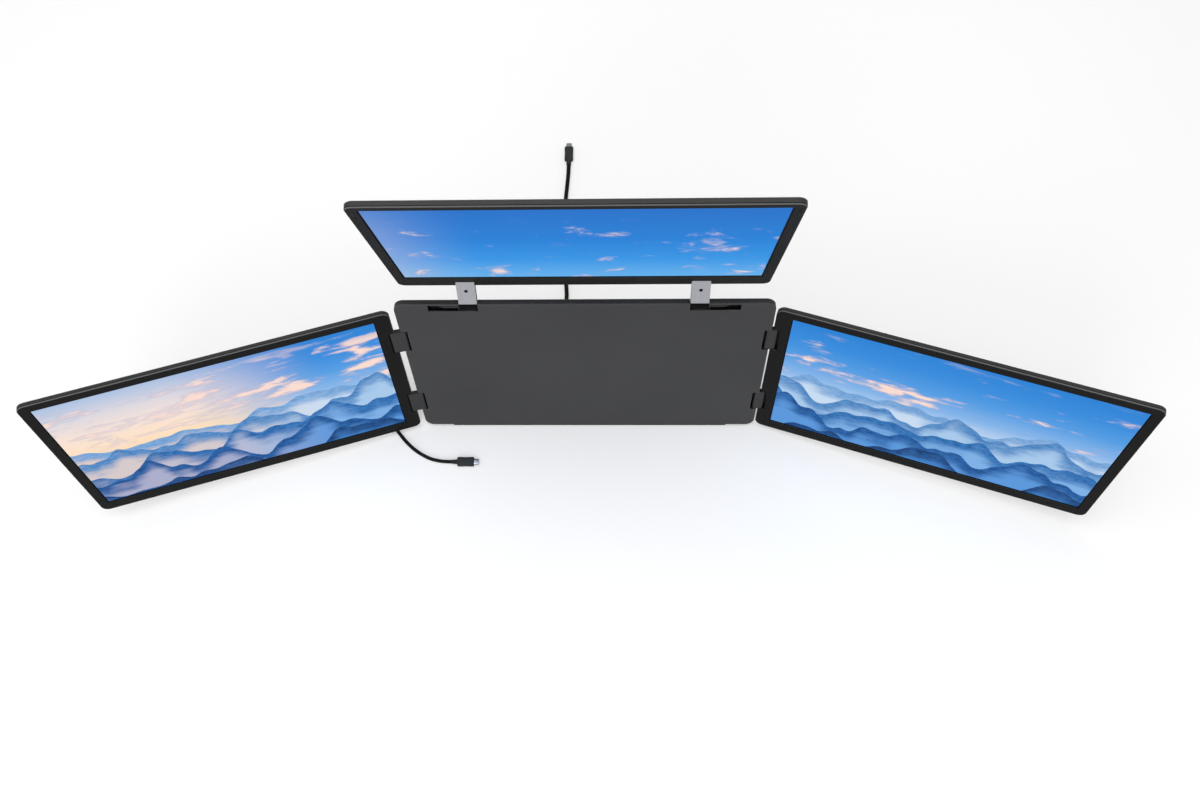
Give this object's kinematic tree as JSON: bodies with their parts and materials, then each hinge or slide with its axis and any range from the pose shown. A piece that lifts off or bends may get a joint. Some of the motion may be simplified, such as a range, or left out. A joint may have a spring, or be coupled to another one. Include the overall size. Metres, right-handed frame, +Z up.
{
  "type": "laptop screen extender",
  "caption": "Free-standing folding monitor set: a leaning centre panel with a display on each side and one above, for use behind a laptop.",
  "frame": {"origin": "middle of the rubber foot strip's underside, on the table", "axes": "+X to the right along the foot strip, +Y away from the viewer, +Z up"},
  "size_m": [1.3053, 0.5852, 0.5602],
  "materials": {
    "dark_metal": "matt anodised",
    "dark_plastic": "fine grain",
    "bezel_plastic": "satin",
    "screen": "lit panel",
    "steel": "turned",
    "bracket_steel": "zinc plated",
    "link_metal": "matt powder coat",
    "arm_aluminium": "fine brushed",
    "stand_aluminium": "matt anodised",
    "circuit_board": "lacquered",
    "rubber": "matt",
    "cable": "satin",
    "plug_plastic": "satin",
    "key_plastic": "satin"
  },
  "bodies": {
    "centre": {"centre_front_cover": "dark_metal", "centre_rear_cover": "dark_plastic", "main_board": "circuit_board", "port_sockets": "steel", "left_panel_bracket": "bracket_steel", "right_panel_bracket": "bracket_steel", "left_inner_pins": "steel", "right_inner_pins": "steel", "top_hinge_barrels": "link_metal", "arm_lower_shafts": "steel", "foot_strip": "rubber", "kickstand_brackets": "bracket_steel", "kickstand_pins": "steel", "laptop_cable_head": "plug_plastic", "laptop_cable_start": "cable", "laptop_cable_coil": "cable", "laptop_cable_end": "cable", "laptop_plug": "plug_plastic", "power_cable_head": "plug_plastic", "power_cable_start": "cable", "power_cable_coil": "cable", "power_cable_end": "cable", "power_plug": "plug_plastic"},
    "left_links": {"left_upper_link": "link_metal", "left_lower_link": "link_metal"},
    "right_links": {"right_upper_link": "link_metal", "right_lower_link": "link_metal"},
    "left_display": {"left_bezel": "bezel_plastic", "left_screen": "screen", "left_rear_shell": "dark_plastic", "left_driver_board": "circuit_board", "left_display_bracket": "bracket_steel", "left_outer_pins": "steel", "left_bumpers": "rubber"},
    "right_display": {"right_bezel": "bezel_plastic", "right_screen": "screen", "right_rear_shell": "dark_plastic", "right_driver_board": "circuit_board", "right_display_bracket": "bracket_steel", "right_outer_pins": "steel", "right_bumpers": "rubber"},
    "left_menu_key": {"left_key": "key_plastic"},
    "right_menu_key": {"right_key": "key_plastic"},
    "top_arms": {"left_arm_core": "link_metal", "left_arm_plate": "arm_aluminium", "right_arm_core": "link_metal", "right_arm_plate": "arm_aluminium"},
    "top_display": {"top_bezel": "bezel_plastic", "top_screen": "screen", "top_rear_shell": "dark_plastic", "top_driver_board": "circuit_board", "top_display_knuckles": "bracket_steel", "arm_upper_shafts": "steel", "top_bumpers": "rubber"},
    "top_menu_key": {"top_key": "key_plastic"},
    "kickstand": {"kickstand_frame": "stand_aluminium", "kickstand_pads": "rubber"}
  },
  "joints": [
    {"name": "right_link_fold", "type": "hinge", "parent": "centre", "child": "right_links", "pos_m": [0.2248, 0.03064, 0.13122], "axis": [0, -0.2419, -0.9703], "range_deg": [0, 90]},
    {"name": "right_display_fold", "type": "hinge", "parent": "right_links", "child": "right_display", "pos_m": [0.234, 0.03064, 0.13122], "axis": [0, -0.2419, -0.9703], "range_deg": [-19, 71]},
    {"name": "left_link_fold", "type": "hinge", "parent": "centre", "child": "left_links", "pos_m": [-0.224, 0.02986, 0.13141], "axis": [0, 0.2419, 0.9703], "range_deg": [-12, 78]},
    {"name": "left_display_fold", "type": "hinge", "parent": "left_links", "child": "left_display", "pos_m": [-0.23936, 0.02669, 0.1322], "axis": [0, 0.2419, 0.9703], "range_deg": [-6, 84]},
    {"name": "top_arm_fold", "type": "hinge", "parent": "centre", "child": "top_arms", "pos_m": [0, 0.06439, 0.26451], "axis": [1, 0, 0], "range_deg": [-6, 99]},
    {"name": "top_display_fold", "type": "hinge", "parent": "top_arms", "child": "top_display", "pos_m": [0, 0.08002, 0.30133], "axis": [1, 0, 0], "range_deg": [-32, 58]},
    {"name": "kickstand_fold", "type": "hinge", "parent": "centre", "child": "kickstand", "pos_m": [0, 0.06482, 0.23194], "axis": [-1, 0, 0], "range_deg": [0, 22.37]},
    {"name": "left_key_press", "type": "slide", "parent": "left_display", "child": "left_menu_key", "axis": [0.9511, 0.2998, -0.0748], "range_m": [0, 0.0005], "stiffness_N_per_m": 600, "springref_m": -0.0008},
    {"name": "right_key_press", "type": "slide", "parent": "right_display", "child": "right_menu_key", "axis": [-0.9455, 0.3159, -0.0788], "range_m": [0, 0.0005], "stiffness_N_per_m": 600, "springref_m": -0.0008},
    {"name": "top_key_press", "type": "slide", "parent": "top_display", "child": "top_menu_key", "axis": [-1, 0, 0], "range_m": [0, 0.0005], "stiffness_N_per_m": 600, "springref_m": -0.0008}
  ]
}
